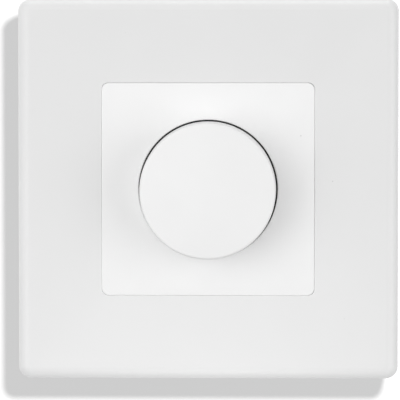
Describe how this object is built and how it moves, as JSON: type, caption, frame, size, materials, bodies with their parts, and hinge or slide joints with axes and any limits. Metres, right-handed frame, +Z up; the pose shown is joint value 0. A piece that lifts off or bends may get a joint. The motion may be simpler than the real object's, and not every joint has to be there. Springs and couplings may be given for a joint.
{
  "type": "smart dimmer switch",
  "caption": "Square wall dimmer with a cover frame, flush centre plate and round turn-and-press knob on an insert with claws and screw terminals.",
  "frame": {"origin": "knob axis in the plane of the wall, midway between the box screw slots", "axes": "+Z up, +X to the right seen from the front, front faces -Y, insert reaches into the wall along +Y"},
  "size_m": [0.08, 0.0423, 0.08],
  "materials": {
    "frame_plastic": "white satin moulded",
    "plate_plastic": "white satin moulded",
    "knob_plastic": "white satin moulded",
    "spring_steel": "bright",
    "plated_steel": "zinc plated",
    "stamped_ring": "zinc plated sheet",
    "diecast_zinc": "die-cast",
    "black_nylon": "moulded",
    "shaft_plastic": "turned",
    "plunger_plastic": "moulded",
    "housing_plastic": "fine texture",
    "board": "solder mask",
    "chip": "moulded",
    "tinned_can": "tinned",
    "ferrite": "sintered",
    "copper_wire": "enamelled",
    "film_box": "moulded",
    "can_sleeve": "shrunk sleeve",
    "fuse_body": "moulded",
    "heat_aluminium": "sheared sheet",
    "mica_sheet": "thermal pad",
    "terminal_plastic": "moulded",
    "clamp_brass": "stamped"
  },
  "bodies": {
    "insert": {"frame": "frame_plastic", "centre_plate": "plate_plastic", "shaft_nut": "plated_steel", "nut_washer": "plated_steel", "encoder_bush": "diecast_zinc", "encoder_strap": "plated_steel", "encoder_body": "black_nylon", "detent_spring": "spring_steel", "encoder_pins": "tinned_can", "push_dome": "spring_steel", "support_ring": "stamped_ring", "claw_screws": "plated_steel", "housing_front": "housing_plastic", "housing_rear": "housing_plastic", "housing_screws": "plated_steel", "control_board": "board", "microcontroller": "chip", "radio_module": "board", "radio_shield": "tinned_can", "board_connector": "black_nylon", "power_board": "board", "choke_core": "ferrite", "choke_winding": "copper_wire", "film_capacitor": "film_box", "bulk_capacitor": "can_sleeve", "fuse": "fuse_body", "heat_plate": "heat_aluminium", "insulating_sheet": "mica_sheet", "mosfets": "chip", "terminal_block": "terminal_plastic", "terminal_clamps": "clamp_brass", "terminal_screws": "plated_steel"},
    "push_actuator": {"push_plunger": "plunger_plastic"},
    "knob": {"knob": "knob_plastic", "knob_clip": "spring_steel", "encoder_shaft": "shaft_plastic"},
    "encoder_rotor": {"encoder_rotor": "plunger_plastic"},
    "claw_left": {"claw_left": "plated_steel"},
    "claw_right": {"claw_right": "plated_steel"}
  },
  "joints": [
    {"name": "knob_press", "type": "slide", "parent": "insert", "child": "push_actuator", "axis": [0, 1, 0], "range_m": [0, 0.0005], "stiffness_N_per_m": 3000, "springref_m": -0.0004, "deforming": ["push_dome"]},
    {"name": "knob_turn", "type": "hinge", "parent": "push_actuator", "child": "knob", "pos_m": [0, 0, 0], "axis": [0, 1, 0], "continuous": true},
    {"name": "rotor_turn", "type": "hinge", "parent": "insert", "child": "encoder_rotor", "pos_m": [0, 0, 0], "axis": [0, 1, 0], "continuous": true},
    {"name": "claw_left_spread", "type": "hinge", "parent": "insert", "child": "claw_left", "pos_m": [-0.0233, 0.00515, 0], "axis": [0, 0, 1], "range_deg": [0, 18]},
    {"name": "claw_right_spread", "type": "hinge", "parent": "insert", "child": "claw_right", "pos_m": [0.0233, 0.00515, 0], "axis": [0, 0, -1], "range_deg": [0, 18]}
  ],
  "couplings": [
    {"joint": "rotor_turn", "follows": "knob_turn", "ratio": 1}
  ]
}
